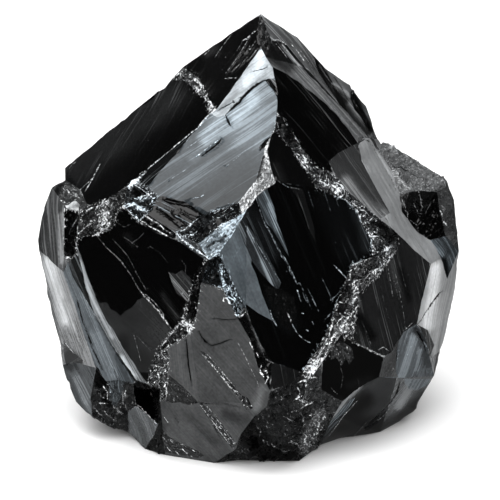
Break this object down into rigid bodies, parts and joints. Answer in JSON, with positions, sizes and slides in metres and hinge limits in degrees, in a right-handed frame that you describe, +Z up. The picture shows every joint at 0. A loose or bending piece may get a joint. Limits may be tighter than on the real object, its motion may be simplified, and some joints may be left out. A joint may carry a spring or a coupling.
{
  "type": "obsidian chunk",
  "caption": "Free-standing rough chunk of black volcanic glass with large broken panes, crushed white seams and a peaked top, resting on a flat underside.",
  "frame": {"origin": "middle of the stone's box, on the flat underside", "axes": "+Z up through the peak, +X to the right along the widest way, +Y away from the side with the large silver pane"},
  "size_m": [0.0834, 0.078, 0.081],
  "materials": {
    "volcanic_glass": "opaque black volcanic glass, glossy on broken panes, frosted along streaks and crushed seams"
  },
  "bodies": {
    "root": {"obsidian_chunk": "volcanic_glass"}
  },
  "joints": []
}
